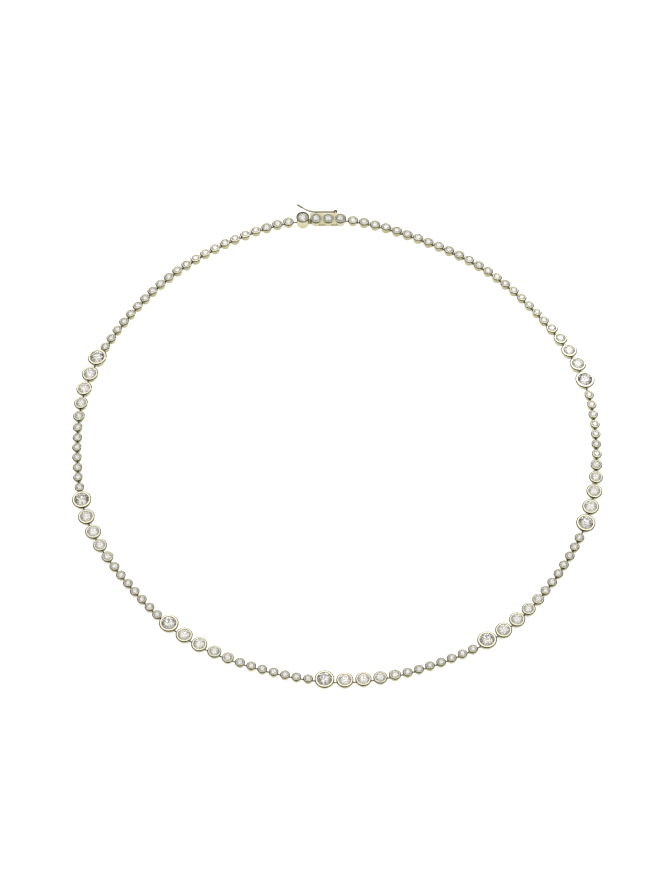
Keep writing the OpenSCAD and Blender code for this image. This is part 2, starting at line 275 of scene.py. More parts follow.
# Outline of the laid loop, closed to the links' total length
def outline(angle, r):
    bulge = sum(c * cos(radians(n * angle)) + s * sin(radians(n * angle)) for n, c, s in LAY_WAVES)
    return (r + bulge) * Vector((cos(radians(angle)), sin(radians(angle))))


def travelled(r):
    way = [0.0]
    for k in range(360):
        a = TONGUE_AT + k
        way.append(way[-1] + (outline(a + 1, r) - outline(a, r)).length)
    return way


ROUGH_R = LOOP_LEN / (2 * pi)
MEAN_R = ROUGH_R + (LOOP_LEN - travelled(ROUGH_R)[-1]) / (2 * pi)
WAY = travelled(MEAN_R)


def angle_at(s):
    k = min(bisect_right(WAY, s) - 1, len(WAY) - 2)
    return TONGUE_AT + k + (s - WAY[k]) / (WAY[k + 1] - WAY[k])


def heading_at(s):
    d = outline(angle_at(s) + 1, MEAN_R) - outline(angle_at(s) - 1, MEAN_R)
    return degrees(atan2(d.y, d.x))


# Sizes of one collet from its outer radius
def collet_h(r):
    return SMALL_H + RISE * (r - SMALL_R)


def foot_r(r):
    return r - FOOT_IN - FOOT_IN_RISE * (r - SMALL_R)


def stone_r(r):
    return r - BEZEL_W - BEZEL_W_RISE * (r - SMALL_R)


def girdle_z(r):
    return collet_h(r) - GIRDLE_IN - GIRDLE_IN_RISE * (r - SMALL_R)


def lip_r(r):
    return stone_r(r) - LIP_OVER - LIP_OVER_RISE * (r - SMALL_R)


def wall_r(r):
    """Radius of the wall at the cross pin's height."""
    return foot_r(r) + (r - foot_r(r)) * (PIN_Z / (collet_h(r) - BAND))


def pin_x(r):
    return wall_r(r) - PIN_R - PIN_SKIN


# Places, with the middle of the loop's outline moved to the origin
CLASP_TURN = angle_at(LOOP_LEN - TONGUE_TO_BOX)
CLASP_MID = outline(CLASP_TURN, MEAN_R) - Vector((0, CLASP_IN))
CENTRES = [outline(angle_at(s), MEAN_R) for s in ARCS]
BAR_END_Y = (BAR_NEAR + BAR_T / 2 + CURVE_R * (1 - cos(radians(CURVE_A)))
             + BAR_REACH * sin(radians(CURVE_A)) + TIP_T / 2 * cos(radians(CURVE_A)))
LOW_X = min(c.x - r for c, r in zip(CENTRES, RADII))
HIGH_X = max(c.x + r for c, r in zip(CENTRES, RADII))
LOW_Y = min(c.y - r for c, r in zip(CENTRES, RADII))
HIGH_Y = CLASP_MID.y + BAR_END_Y
MIDDLE = Vector(((LOW_X + HIGH_X) / 2, (LOW_Y + HIGH_Y) / 2))
CLASP_PLACE = Matrix.Translation((CLASP_MID.x - MIDDLE.x, CLASP_MID.y - MIDDLE.y, 0))
TONGUE_PLACE = CLASP_PLACE @ Matrix.Translation((-TONGUE_TO_BOX, 0, 0))


def rotated(x=0, y=0, z=0):
    return (Matrix.Rotation(radians(z), 4, "Z") @ Matrix.Rotation(radians(y), 4, "Y")
            @ Matrix.Rotation(radians(x), 4, "X"))


def lean(i):
    near_end = min(1, min(ARCS[i], LOOP_LEN - TONGUE_TO_BOX - ARCS[i]) / LEAN_EASE)
    return (LEAN_FAR * (1 + sin(radians(angle_at(ARCS[i])))) / 2 * near_end
            + LEAN_PLAY * sin(radians(STONE_TURN * i)))


def link_place(i):
    at = CENTRES[i] - MIDDLE
    lift = foot_r(RADII[i]) * sin(radians(abs(lean(i))))
    return Matrix.Translation((at.x, at.y, lift)) @ rotated(x=lean(i), z=heading_at(ARCS[i]))


def link_pin(i):
    return link_place(i) @ Vector((-pin_x(RADII[i]), 0, PIN_Z))


def link_anchor(i):
    return link_place(i) @ Vector((wall_r(RADII[i]) - ROOT, 0, PIN_Z))


def stone_place(k):
    """Place of the box's stone k, counted -1, 0, 1 from the tongue's end, in the box's frame."""
    return Matrix.Translation((k * BOX_PITCH, 0, 0))


def behind_box(x, y):
    """Turns +Z to +Y, to stand a round part on the box's back."""
    return Matrix.Translation((x, y, BAR_Z)) @ rotated(x=-90)


# Material slots of a metal piece, after the first: joint, seam or throat, with painted shade beside joints
# and in throats; steep wall, painted shade on the chain and painted light on the clasp; lip, painted shade;
# and sill, a painted shadow line
JOINT_AND_SHADE_SLOT = 1
PAINTED_WALL_SLOT = 2
LIP_SHADE_SLOT = 3
SHADOW_SHEET_SLOT = 4

# Faces that take those slots, to paint light and shade by which way they face: by parts of their normals, by
# the angle off a joint, or by row
STEEP = 0.45
SLOPED = (0.72, 0.95)
BAR_SHADE_Y = -0.30
BAR_SHADE_Z = 0.60
JOINT_SHADE_SIDE = 32
TONGUE_LIP_SHADE_ROWS = range(6, 10)
TONGUE_THROAT_SHADE_ROWS = range(10, 14)


class Shape:
    """Gathers the faces of one piece, in millimetres."""

    def __init__(self):
        self.verts, self.faces, self.slots = [], [], []

    def add(self, verts, faces, place=Matrix(), slot=0):
        base = len(self.verts)
        self.verts += [place @ Vector(v) for v in verts]
        self.faces += [[base + k for k in f] for f in faces]
        self.slots += slot if isinstance(slot, list) else [slot] * len(faces)

    def add_object(self, obj):
        mesh = obj.data
        self.add([v.co / MM for v in mesh.vertices], [list(p.vertices) for p in mesh.polygons])
        bpy.data.objects.remove(obj)

    def make(self, name, materials=(), sharp=35):
        """Makes the object; edges over sharp degrees stay sharp, and all of them when it is 0."""
        mesh = bpy.data.meshes.new(name)
        mesh.from_pydata([v * MM for v in self.verts], [], self.faces)
        for m in materials:
            mesh.materials.append(m)
        mesh.polygons.foreach_set("material_index", self.slots)
        outward = bmesh.new()
        outward.from_mesh(mesh)
        bmesh.ops.recalc_face_normals(outward, faces=outward.faces)
        outward.to_mesh(mesh)
        outward.free()
        mesh.update()
        # Steep faces take the painted wall tone and lip slopes the painted lip shade, chosen by which way
        # they face
        for face in mesh.polygons:
            if face.material_index or len(materials) <= PAINTED_WALL_SLOT:
                continue
            if abs(face.normal.z) < STEEP:
                face.material_index = PAINTED_WALL_SLOT
            elif LIP_SHADE_GOLD in materials and SLOPED[0] < face.normal.z < SLOPED[1]:
                face.material_index = LIP_SHADE_SLOT
        if sharp:
            mesh.shade_smooth()
            mesh.set_sharp_from_angle(angle=radians(sharp))
        obj = bpy.data.objects.new(name, mesh)
        bpy.context.scene.collection.objects.link(obj)
        return obj


# Outlines and half sections
def stepped(x, z, steps):
    """Points at (across, up) steps from x, z."""
    return [(x + dx, z + dz) for dx, dz in steps]


def arc(cx, cy, r, start, end, steps):
    angles = [radians(start + (end - start) * k / steps) for k in range(steps + 1)]
    return [(cx + r * cos(a), cy + r * sin(a)) for a in angles]


def rounded(w, h, r, steps=EDGE_STEPS):
    """A rounded rectangle's outline, w by h, corner radius r."""
    x, y = w / 2 - r, h / 2 - r
    return (arc(x, y, r, 0, 90, steps) + arc(-x, y, r, 90, 180, steps)
            + arc(-x, -y, r, 180, 270, steps) + arc(x, -y, r, 270, 360, steps))


def cylinder_section(r, z0, z1, bevel=0.0):
    if not bevel:
        return [(0, z0), (r, z0), (r, z1), (0, z1)]
    return [(0, z0), (r, z0)] + arc(r - bevel, z1 - bevel, bevel, 0, 90, EDGE_STEPS) + [(0, z1)]


def collet_section(r, h, foot, stone, girdle, lip):
    """Foot, tapered wall, upright band, lip sloped to both sides, seat and inner wall."""
    band = h - BAND
    drop = LIP_OUT * tan(radians(LIP_SLOPE))
    dip = LIP_IN * tan(radians(LIP_SLOPE))
    wall = stepped(foot, 0, FOOT_EDGE) + [(foot + (r - foot) * WALL_MIDDLE, band * WALL_MIDDLE)]
    wall += stepped(r, band, BAND_EDGE)
    top = stepped(r, h - drop, LIP_OUTSIDE) + [(r - LIP_OUT, h), (lip + LIP_IN, h)]
    inside = stepped(lip, h - dip, LIP_INSIDE) + stepped(stone, girdle, SEAT) + stepped(foot, 0, FOOT_INSIDE)
    return wall + top + inside


def box_cup_section():
    """A collet's section with a solid floor, up to the well under the stone."""
    section = collet_section(BOX_R, BOX_H, BOX_FOOT, BOX_STONE_R, BOX_GIRDLE, BOX_STONE_R - LIP_OVER)
    return [(0, 0)] + section[:-len(FOOT_INSIDE)] + [(WELL_R, WELL_Z), (0, WELL_Z)]


def tongue_section():
    return (stepped(TONGUE_FOOT, 0, TONGUE_FOOT_EDGE)
            + stepped(TONGUE_R, TONGUE_H - BAND, TONGUE_BAND_EDGE)
            + stepped(TONGUE_R, TONGUE_H, TONGUE_TOP)
            + stepped(TONGUE_LIP, TONGUE_H, TONGUE_LIP_EDGE)
            + stepped(TONGUE_STONE_R, TONGUE_GIRDLE, TONGUE_SEAT)
            + stepped(TONGUE_FOOT, 0, FOOT_INSIDE))


# Forms that are added to a shape
def ring_faces(rows, count, closed=True):
    """Quads between rows of count points each; closed joins the last row to the first."""
    return [
        (a * count + k, a * count + (k + 1) % count,
         (a + 1) % rows * count + (k + 1) % count, (a + 1) % rows * count + k)
        for a in range(rows if closed else rows - 1) for k in range(count)
    ]


def lathe(shape, profile, place=Matrix(), count=COLLET_SIDES, slot=0):
    """Turns a closed half section of (radius, height) round Z; points on the axis close the ends."""
    verts, rows = [], []
    for r, z in profile:
        if r == 0:
            rows.append([len(verts)] * count)
            verts.append((0, 0, z))
        else:
            rows.append([len(verts) + k for k in range(count)])
            verts += [(r * cos(2 * pi * k / count), r * sin(2 * pi * k / count), z) for k in range(count)]
    faces = []
    for a, b in zip(rows, rows[1:] + rows[:1]):
        for k in range(count):
            n = (k + 1) % count
            face = list(dict.fromkeys((a[k], a[n], b[n], b[k])))
            if len(face) > 2:
                faces.append(face)
    shape.add(verts, faces, place, slot)


def sweep(shape, path, section, place, closed=False):
    """Sweeps section (across, up) along path, a list of (x, y) points with their side directions."""
    verts = []
    for (x, y), (sx, sy) in path:
        verts += [(x + u * sx, y + u * sy, v) for u, v in section]
    count = len(section)
    faces = ring_faces(len(path), count, closed)
    if not closed:
        faces += [list(range(count))[::-1], [len(verts) - count + k for k in range(count)]]
    shape.add(verts, faces, place)


def block(shape, low, high, bevel=0.0, place=Matrix(), slot=0):
    """A box from corner low to corner high, its upright and top edges rounded off."""
    (x0, y0, z0), (x1, y1, z1) = low, high
    if not bevel:
        verts = [(x, y, z) for z in (z0, z1) for x, y in ((x0, y0), (x1, y0), (x1, y1), (x0, y1))]
        sides = [(k, (k + 1) % 4, 4 + (k + 1) % 4, 4 + k) for k in range(4)]
        shape.add(verts, [(3, 2, 1, 0), (4, 5, 6, 7)] + sides, place, slot)
        return
    w, d = x1 - x0, y1 - y0
    mid = Matrix.Translation(((x0 + x1) / 2, (y0 + y1) / 2, 0))
    layers = [(z0, bevel / 2), (z0 + bevel / 2, 0)]
    layers += [(z, bevel - out) for out, z in arc(0, z1 - bevel, bevel, 0, 90, EDGE_STEPS)]
    count = len(rounded(w, d, bevel))
    verts = [mid @ Vector((x, y, z)) for z, inset in layers
             for x, y in rounded(w - 2 * inset, d - 2 * inset, bevel)]
    faces = ring_faces(len(layers), count, False)
    faces += [list(range(count))[::-1], [(len(layers) - 1) * count + k for k in range(count)]]
    shape.add(verts, faces, place, slot)


def cross_pin(shape, place, slot=0):
    half = (SLOT_W + ROOT) / 2
    lathe(shape, cylinder_section(PIN_R, -half, half), place @ rotated(x=90), PIN_SIDES, slot)


def eye(shape, start, end, roll):
    """An eye round the pin at end, on a shank from start."""
    d = end - start
    rise = degrees(atan2(d.z, hypot(d.x, d.y)))
    place = Matrix.Translation(end) @ rotated(roll, -rise, degrees(atan2(d.y, d.x)))
    section = rounded(EYE_WIRE, EYE_W, EYE_EDGE, 1)
    turns = [2 * pi * k / EYE_SIDES for k in range(EYE_SIDES)]
    verts = [((EYE_R + u) * cos(a), v, (EYE_R + u) * sin(a)) for a in turns for u, v in section]
    shape.add(verts, ring_faces(EYE_SIDES, len(section)), place, JOINT_AND_SHADE_SLOT)
    shank = [(0, -d.length), (SHANK_R + SHANK_END, -d.length)]
    shank += stepped(SHANK_R, ROOT - d.length, SOLDER) + [(SHANK_R, -EYE_R), (0, -EYE_R)]
    lathe(shape, shank, place @ rotated(y=90), SHANK_SIDES, JOINT_AND_SHADE_SLOT)


def radius_at(low, high, z):
    """Radius at height z on the line between two points of a half section."""
    return low[0] + (z - low[1]) / (high[1] - low[1]) * (high[0] - low[0])


def collet(shape, section, place, slot_top):
    """Turns a collet's section, open on its -X side from the foot up to slot_top."""
    top_outer = next(k for k, p in enumerate(section) if p[1] >= slot_top)
    outer_r = radius_at(section[top_outer - 1], section[top_outer], slot_top)
    section = section[:top_outer] + [(outer_r, slot_top)] + section[top_outer:]
    peak = max(range(len(section)), key=lambda k: section[k][1])
    below = next(k for k in range(peak, len(section)) if section[k][1] <= slot_top)
    inner_r = radius_at(section[below], section[below - 1], slot_top)
    section = section[:below] + [(inner_r, slot_top)] + section[below:]
    count, inside, rows = COLLET_SIDES, OPEN_SIDES, len(section)
    half = degrees(asin(SLOT_W / 2 / outer_r))
    angles = [180 - half + 2 * half * k / inside for k in range(inside)]
    angles += [180 + half + (360 - 2 * half) * k / (count - inside) for k in range(count - inside)]
    verts = [(r * cos(radians(a)), r * sin(radians(a)), z) for r, z in section for a in angles]
    open_rows = [*range(top_outer), *range(below, rows)]
    band_row = next(k for k, p in enumerate(section) if p[1] > section[peak][1] - BAND / 2)
    faces, slots = [], []
    for row in range(rows):
        low, high = row * count, (row + 1) % rows * count
        for k in range(count):
            if k < inside and row in open_rows:
                continue
            n = (k + 1) % count
            faces.append((low + k, low + n, high + n, high + k))
            # Walls beside the joint, below the band, take the dark joint gold as painted shade; so do the
            # faces of the slot
            shaded_by_joint = abs(cos(radians(angles[k]))) > cos(radians(JOINT_SHADE_SIDE))
            slots.append(JOINT_AND_SHADE_SLOT if row < band_row and shaded_by_joint else 0)
    outer, inner = top_outer * count, below * count
    faces += [(outer + k, outer + k + 1, inner + k + 1, inner + k) for k in range(inside)]
    cut_rows = [*range(below, rows), *range(top_outer + 1)]
    faces.append([row * count for row in reversed(cut_rows)])
    faces.append([row * count + inside for row in cut_rows])
    shape.add(verts, faces, place, slots + [JOINT_AND_SHADE_SLOT] * (len(faces) - len(slots)))


def brilliant(shape, r, place, turn):
    """A round stone: table, stars, kites and halves above the girdle, halves and mains below."""
    verts = []

    def ring(count, radius, z, offset=0.0):
        """Adds a ring of corners and gives the number of its first."""
        first = len(verts)
        angles = [radians(turn + offset + 360 * k / count) for k in range(count)]
        verts.extend((radius * cos(a), radius * sin(a), z) for a in angles)
        return first

    half, halves, shift = GIRDLE_H / 2, 2 * FACETS, 180 / FACETS
    ring(FACETS, TABLE[0] * r, TABLE[1] * r + half, shift)
    kites = ring(FACETS, KITES[0] * r, KITES[1] * r + half)
    upper = ring(halves, r, half)
    lower = ring(halves, r, -half)
    mains = ring(FACETS, MAINS[0] * r, MAINS[1] * r - half, shift)
    culet = ring(FACETS, CULET[0] * r, CULET[1] * r - half)
    faces = [list(range(FACETS)), [culet + k for k in reversed(range(FACETS))]]
    for k in range(FACETS):
        n, before = (k + 1) % FACETS, (k - 1) % FACETS
        here, left, right = 2 * k, (2 * k - 1) % halves, 2 * k + 1
        faces.append((before, kites + k, k))
        faces.append((k, kites + k, upper + right, kites + n))
        faces.append((kites + k, upper + here, upper + right))
        faces.append((kites + k, upper + left, upper + here))
        faces.append((lower + here, mains + before, culet + k, mains + k))
        faces.append((lower + here, mains + k, lower + right))
        faces.append((lower + here, lower + left, mains + before))
    for k in range(halves):
        n = (k + 1) % halves
        faces.append((upper + k, lower + k, lower + n, upper + n))
    shape.add(verts, faces, place)


# Cutting, and what each piece rides on
def solid(build, *args):
    """An object of its own from one form, to cut with or to be cut."""
    shape = Shape()
    build(shape, *args)
    return shape.make("working", sharp=0)


def cut(obj, cutters):
    for c in cutters:
        m = obj.modifiers.new("cut", "BOOLEAN")
        m.operation, m.solver, m.object = "DIFFERENCE", "EXACT", c
    graph = bpy.context.evaluated_depsgraph_get()
    mesh = bpy.data.meshes.new_from_object(obj.evaluated_get(graph))
    obj.modifiers.clear()
    obj.data = mesh
    return obj


def rides(obj, body, node):
    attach(obj, body)
    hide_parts(node)


# Materials: noises are (scale, detail), roughnesses (least, most), and these lengths are in metres
COLOURS_AT = {2: (0.30, 0.70), 3: (0.30, 0.55, 0.80)}
LINK_DRIFT = (60.0, 2.0)
CLASP_DRIFT = (200.0, 2.0)
JOINT_DRIFT = (260.0, 2.0)
ROSE_DRIFT = (400.0, 2.0)
SMEARS = (900.0, 4.0)
HAIR = (5200.0, 5.0)
HAIR_STRENGTH = 0.12
HAIR_DEPTH = 0.00001
# Painted shade in narrow gaps: its dark colour, how far it looks, how it fades in, and its samples
CREVICE_SHADE = (0.12, 0.10, 0.04)
CREVICE_SHADE_REACH = 0.0008
CREVICE_SHADE_FADE = (0.30, 0.80)
CREVICE_SHADE_SAMPLES = 4
GEM_COLOURS = [(0.35, (0.97, 0.92, 0.86)), (0.65, (0.955, 0.93, 0.88))]
GEM_DRIFT = (190.0, 1.0)
GEM_FILM = (1500.0, 2.0)
GEM_IOR = 2.42
SHEET_COLOURS = [(0.3, (0.93, 0.93, 0.93)), (0.7, (0.95, 0.95, 0.95))]
SHEET_GRAIN = (300.0, 2.0)
SHEET_ROUGH = 0.9
SHEET_SHINE = 0.1
SHEET_GLOW = 0.88


def new_material(name):
    mat = bpy.data.materials.new(name)
    mat.use_nodes = True
    nodes = mat.node_tree.nodes
    return mat, nodes, mat.node_tree.links, nodes["Principled BSDF"].inputs


def noise(nodes, links, coords, scale_detail):
    node = nodes.new("ShaderNodeTexNoise")
    node.inputs["Scale"].default_value, node.inputs["Detail"].default_value = scale_detail
    links.new(coords, node.inputs["Vector"])
    return node.outputs["Fac"]


def ramp(nodes, links, source, stops):
    node = nodes.new("ShaderNodeValToRGB")
    for k, (at, color) in enumerate(stops):
        e = node.color_ramp.elements[k] if k < 2 else node.color_ramp.elements.new(at)
        e.position, e.color = at, (*color, 1)
    links.new(source, node.inputs["Fac"])
    return node.outputs["Color"]


def spread(nodes, links, source, low, high):
    node = nodes.new("ShaderNodeMapRange")
    node.inputs["To Min"].default_value, node.inputs["To Max"].default_value = low, high
    links.new(source, node.inputs["Value"])
    return node.outputs["Result"]


def eased(nodes, links, source, start, end, low=0.0, high=1.0):
    """Eases from low to high while the source goes from start to end."""
    node = nodes.new("ShaderNodeMapRange")
    node.interpolation_type = "SMOOTHSTEP"
    node.inputs["From Min"].default_value, node.inputs["From Max"].default_value = start, end
    node.inputs["To Min"].default_value, node.inputs["To Max"].default_value = low, high
    links.new(source, node.inputs["Value"])
    return node.outputs["Result"]


def painted_crevice_shade(nodes, links, colour):
    """Paints shade into the colour where other faces of the piece stand close."""
    near = nodes.new("ShaderNodeAmbientOcclusion")
    near.samples = CREVICE_SHADE_SAMPLES
    near.only_local = True
    near.inputs["Distance"].default_value = CREVICE_SHADE_REACH
    mix = nodes.new("ShaderNodeMix")
    mix.data_type = "RGBA"
    sockets = {k.identifier: k for k in mix.inputs}
    sockets["A_Color"].default_value = (*CREVICE_SHADE, 1)
    links.new(eased(nodes, links, near.outputs["AO"], *CREVICE_SHADE_FADE), sockets["Factor_Float"])
    links.new(colour, sockets["B_Color"])
    return next(k for k in mix.outputs if k.identifier == "Result_Color")


def metal(name, rough, drift, *colours):
    """Polished gold: its colour drifts, shade is painted into its hollows and gaps, smears dull it, and hair
    scratches cross it.
    """
    mat, nodes, links, shader = new_material(name)
    coords = nodes.new("ShaderNodeTexCoord").outputs["Object"]
    patches = noise(nodes, links, coords, drift)
    colour = ramp(nodes, links, patches, zip(COLOURS_AT[len(colours)], colours))
    links.new(painted_crevice_shade(nodes, links, colour), shader["Base Color"])
    smears = noise(nodes, links, coords, SMEARS)
    links.new(spread(nodes, links, smears, *rough), shader["Roughness"])
    bump = nodes.new("ShaderNodeBump")
    bump.inputs["Strength"].default_value = HAIR_STRENGTH
    bump.inputs["Distance"].default_value = HAIR_DEPTH
    links.new(noise(nodes, links, coords, HAIR), bump.inputs["Height"])
    links.new(bump.outputs["Normal"], shader["Normal"])
    shader["Metallic"].default_value = 1.0
    return mat


def gem(name, painted_glow, film_rough):
    """Colourless stone, with a faint warm drift from stone to stone, a film on its facets, and a painted
    glow from within.
    """
    mat, nodes, links, shader = new_material(name)
    coords = nodes.new("ShaderNodeTexCoord").outputs["Object"]
    colour = ramp(nodes, links, noise(nodes, links, coords, GEM_DRIFT), GEM_COLOURS)
    links.new(colour, shader["Base Color"])
    film = noise(nodes, links, coords, GEM_FILM)
    links.new(spread(nodes, links, film, film_rough / 2, film_rough), shader["Roughness"])
    shader["IOR"].default_value = GEM_IOR
    shader["Transmission Weight"].default_value = 1.0
    # Painted light: the stone glows faintly in its own colour, lifting its dark facets
    links.new(colour, shader["Emission Color"])
    shader["Emission Strength"].default_value = painted_glow
    return mat


GOLD = metal("pale_gold", (0.06, 0.14), LINK_DRIFT,
             (0.74, 0.74, 0.53), (0.77, 0.75, 0.55), (0.80, 0.71, 0.55))
# Shaded copy of the gold for the chain's steep walls: painted shade
WALL_SHADE_GOLD = metal("wall_painted_shade_gold", (0.10, 0.20), LINK_DRIFT,
             (0.41, 0.40, 0.22), (0.44, 0.41, 0.24), (0.47, 0.39, 0.25))
# Dark copy of the gold for lip slopes: a painted dark reflection
LIP_SHADE_GOLD = metal("lip_painted_shade_gold", (0.08, 0.16), LINK_DRIFT,
            (0.27, 0.26, 0.15), (0.30, 0.28, 0.17), (0.32, 0.26, 0.17))
CLASP_GOLD = metal("clasp_gold", (0.08, 0.16), CLASP_DRIFT, (0.41, 0.40, 0.26), (0.45, 0.42, 0.29))
# Lighter copy of the clasp's gold for its steep walls: painted light
CLASP_WALL_LIT_GOLD = metal("clasp_wall_painted_light_gold", (0.10, 0.20), CLASP_DRIFT, (0.55, 0.53, 0.33), (0.60, 0.56, 0.37))
# Dark gold of the eyes, shanks and pins, also used as painted shade beside joints, in throats and on the
# sill
JOINT_AND_SHADE_GOLD = metal("joint_and_painted_shade_gold", (0.16, 0.34), JOINT_DRIFT, (0.22, 0.20, 0.08), (0.33, 0.30, 0.16))
# Near-black gold: painted shade on the bar's faces toward the box, the tongue's lip, the bar's eye and the
# hinge pin
DEEP_SHADE_GOLD = metal("deep_painted_shade_gold", (0.16, 0.34), JOINT_DRIFT, (0.08, 0.075, 0.035), (0.13, 0.12, 0.065))
ROSE = metal("rose_solder", (0.12, 0.26), ROSE_DRIFT, (0.47, 0.34, 0.26), (0.52, 0.39, 0.30))
GEM = gem("cut_stone", 0.018, 0.01)
SMALL_GEM = gem("small_cut_stone", 0.05, 0.14)


# Chain
def link(shape, i):
    r = RADII[i]
    place = link_place(i)
    section = collet_section(r, collet_h(r), foot_r(r), stone_r(r), girdle_z(r), lip_r(r))
    collet(shape, section, place, PIN_Z + EYE_REACH)
    cross_pin(shape, place @ Matrix.Translation((-pin_x(r), 0, PIN_Z)), JOINT_AND_SHADE_SLOT)
    if i < LINK_N - 1:
        eye(shape, link_anchor(i), link_pin(i + 1), (lean(i) + lean(i + 1)) / 2)
    else:
        eye(shape, link_anchor(i), CLASP_PLACE @ BOX_PIN, lean(i) / 2)


def stone(shape, i):
    r = RADII[i]
    place = link_place(i) @ Matrix.Translation((0, 0, girdle_z(r)))
    brilliant(shape, stone_r(r), place, STONE_TURN * i)


def make_chain():
    for name, first, last in (("left", 0, HALF_N), ("right", HALF_N, LINK_N)):
        links, stones = Shape(), Shape()
        for i in range(first, last):
            link(links, i)
            if i not in LEADS:
                stone(stones, i)
        metals = [GOLD, JOINT_AND_SHADE_GOLD, WALL_SHADE_GOLD, LIP_SHADE_GOLD]
        rides(links.make("links_" + name, metals, 20), "necklace", "chain_" + name)
        small = stones.make("small_stones_" + name, [SMALL_GEM], 0)
        rides(small, "necklace", "stones_" + name)
    for g, i in enumerate(LEADS, 1):
        shape = Shape()
        stone(shape, i)
        rides(shape.make("large_stone_%d" % g, [GEM], 0), "necklace", "lead_stone_%d" % g)


# Clasp
def make_box():
    hollow = solid(block, (-BOX_HALF - CUT_PAST, -HOLLOW_W / 2, HOLLOW_Z),
                   (HOLLOW_END, HOLLOW_W / 2, HOLLOW_Z + HOLLOW_H))
    drill = cylinder_section(DRILL_R, WELL_Z, BOX_H + CUT_PAST)
    drills = [solid(lathe, drill, stone_place(k)) for k in (-1, 0, 1)]
    slot = solid(block, (BOX_PIN_X - EYE_REACH, -SLOT_W / 2, -CUT_PAST),
                 (BOX_HALF + CUT_PAST, SLOT_W / 2, PIN_Z + EYE_REACH))
    pin_hole = HINGE_PIN_R + PIN_FIT
    bore = solid(lathe, cylinder_section(pin_hole, 0, BORE_LEN),
                 behind_box(HINGE_X, HINGE_FLOOR), BORE_SIDES)
    shape = Shape()
    for part in (solid(block, *FRONT_BLOCK), solid(block, *BACK_BLOCK)):
        shape.add_object(cut(part, drills + [hollow, bore]))
    for k in (-1, 0, 1):
        cup = solid(lathe, box_cup_section(), stone_place(k), BOX_SIDES)
        shape.add_object(cut(cup, [hollow, slot] if k == 1 else [hollow]))
    base = BOX_BACK - SUNK
    boss_len = BAR_NEAR - HINGE_GAP - base
    boss = stepped(HINGE_BOSS_R, 0, BOSS_FOOT) + stepped(HINGE_BOSS_R, boss_len, BOSS_END)
    lathe(shape, [(pin_hole, 0)] + boss + [(pin_hole, boss_len)],
          behind_box(HINGE_X, base), HINGE_SIDES, JOINT_AND_SHADE_SLOT)
    lathe(shape, cylinder_section(STUD_R, 0, BAR_NEAR - STUD_GAP - base, STUD_EDGE),
          behind_box(STUD_X, base), STUD_SIDES)
    cross_pin(shape, Matrix.Translation(BOX_PIN))
    for seam in SEAM_BLOCKS:
        block(shape, *seam, slot=JOINT_AND_SHADE_SLOT)
    # Painted shadow line along the front's foot
    block(shape, *SHADOW_SHEET_BLOCK, slot=SHADOW_SHEET_SLOT)
    for obj in [hollow, slot, bore] + drills:
        bpy.data.objects.remove(obj)
    shape.verts = [CLASP_PLACE @ v for v in shape.verts]
    metals = [CLASP_GOLD, ROSE, CLASP_WALL_LIT_GOLD, LIP_SHADE_GOLD, JOINT_AND_SHADE_GOLD]
    rides(shape.make("box_metal", metals, 25), "necklace", "clasp_box")
    for k in (1, 2, 3):
        gems = Shape()
        place = CLASP_PLACE @ stone_place(k - 2) @ Matrix.Translation((0, 0, BOX_GIRDLE))
        brilliant(gems, BOX_STONE_R, place, BOX_STONE_TURN * k)
        rides(gems.make("box_stone_%d" % k, [SMALL_GEM], 0), "necklace", "clasp_box_stone_%d" % k)


def make_tongue():
    cup = TONGUE_PLACE @ Matrix.Translation((0, -TONGUE_OFF, 0))
    shape = Shape()
    lathe(shape, tongue_section(), cup, TONGUE_SIDES)
    # The lip's rows and the throat's rows take dark golds: painted shade round the stone
    for rows, slot in ((TONGUE_LIP_SHADE_ROWS, LIP_SHADE_SLOT), (TONGUE_THROAT_SHADE_ROWS, JOINT_AND_SHADE_SLOT)):
        first, last = rows.start * TONGUE_SIDES, rows.stop * TONGUE_SIDES
        shape.slots[first:last] = [slot] * (last - first)
    block(shape, (BLADE_START, -BLADE_W / 2, BLADE_Z), (BLADE_END, BLADE_W / 2, BLADE_Z + BLADE_T),
          BLADE_EDGE, TONGUE_PLACE, JOINT_AND_SHADE_SLOT)
    eye(shape, cup @ Vector((-TONGUE_FOOT + ROOT, 0, PIN_Z)), link_pin(0), lean(0) / 2)
    metals = [CLASP_GOLD, JOINT_AND_SHADE_GOLD, CLASP_WALL_LIT_GOLD, DEEP_SHADE_GOLD]
    rides(shape.make("tongue_metal", metals, 20), "necklace", "clasp_tongue")
    gems = Shape()
    brilliant(gems, TONGUE_STONE_R, cup @ Matrix.Translation((0, 0, TONGUE_GIRDLE)), 0)
    rides(gems.make("tongue_stone", [SMALL_GEM], 0), "necklace", "clasp_tongue_stone")


# Safety bar: a rounded flat arm swept along its line, an eye, and an open loop at the tip
def bar_path():
    path = [((-BAR_START, 0), (0, 1)), ((-BAR_STRAIGHT, 0), (0, 1))]
    for k in range(1, CURVE_STEPS + 1):
        a = radians(CURVE_A * k / CURVE_STEPS)
        at = (-BAR_STRAIGHT - CURVE_R * sin(a), CURVE_R * (1 - cos(a)))
        path.append((at, (sin(a), cos(a))))
    return path


def tip_path():
    """The loop's middle line, with the directions outward from it."""
    r = (TIP_H - TIP_WIRE) / 2
    path = []
    for end, way in ((-TIP_ARM - TIP_H / 2, 1), (-TIP_ARM - TIP_LEN, -1)):
        for degree in range(0, 181, TIP_STEP):
            side = way * sin(radians(degree)), way * cos(radians(degree))
            path.append(((end + r * side[0], r * side[1]), side))
    return path


